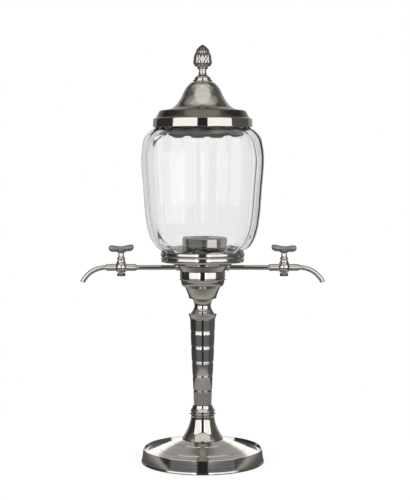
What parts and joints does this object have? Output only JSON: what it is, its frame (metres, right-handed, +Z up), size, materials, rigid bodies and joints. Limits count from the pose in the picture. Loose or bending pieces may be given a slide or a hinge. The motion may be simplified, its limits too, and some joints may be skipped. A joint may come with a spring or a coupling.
{
  "type": "absinthe fountain",
  "caption": "Table fountain with a fluted glass jar, lift-off lid with artichoke finial, turned pedestal, and a plug-cock tap with bent spout on each side.",
  "frame": {"origin": "on the table, under the axis of the stem", "axes": "+Z up along the stem, X through both taps, -Y towards the viewer"},
  "size_m": [0.3116, 0.1572, 0.5299],
  "materials": {
    "nickel_plate": "polished nickel plate, slightly warm, with fine turning lines",
    "plain_steel": "plain turned",
    "gasket_rubber": "matt",
    "clear_glass": "clear, fluted"
  },
  "bodies": {
    "stand": {"base": "nickel_plate", "base_washer": "plain_steel", "base_nut": "plain_steel", "tie_rod": "plain_steel", "foot_trumpet": "nickel_plate", "foot_ring": "nickel_plate", "column_skirt": "nickel_plate", "column": "nickel_plate", "capital_ring": "nickel_plate", "neck": "nickel_plate", "bowl": "nickel_plate", "rod_top_nut": "plain_steel", "hub": "nickel_plate", "manifold": "nickel_plate", "outlet_stem": "nickel_plate", "collar": "nickel_plate", "jar_gasket_lower": "gasket_rubber", "jar": "clear_glass", "jar_gasket_upper": "gasket_rubber", "clamp_flange": "nickel_plate", "clamp_nut": "nickel_plate", "left_feed_tube": "nickel_plate", "right_feed_tube": "nickel_plate", "left_tap_body": "nickel_plate", "right_tap_body": "nickel_plate", "left_spout": "nickel_plate", "right_spout": "nickel_plate"},
    "lid": {"lid_shell": "nickel_plate", "lid_liner": "nickel_plate", "finial_base": "nickel_plate", "finial_bud": "nickel_plate", "finial_stud": "plain_steel", "finial_washer": "plain_steel", "finial_nut": "plain_steel"},
    "left_key": {"left_tap_key": "nickel_plate", "left_tap_handle": "nickel_plate", "left_tap_washer": "nickel_plate", "left_tap_nut": "nickel_plate"},
    "right_key": {"right_tap_key": "nickel_plate", "right_tap_handle": "nickel_plate", "right_tap_washer": "nickel_plate", "right_tap_nut": "nickel_plate"}
  },
  "joints": [
    {"name": "lid_lift", "type": "slide", "parent": "stand", "child": "lid", "axis": [0, 0, 1], "range_m": [0, 0.06]},
    {"name": "left_key_turn", "type": "hinge", "parent": "stand", "child": "left_key", "pos_m": [-0.1034, 0, 0.2491], "axis": [0, 0, 1], "continuous": true},
    {"name": "right_key_turn", "type": "hinge", "parent": "stand", "child": "right_key", "pos_m": [0.1034, 0, 0.2491], "axis": [0, 0, 1], "continuous": true}
  ]
}
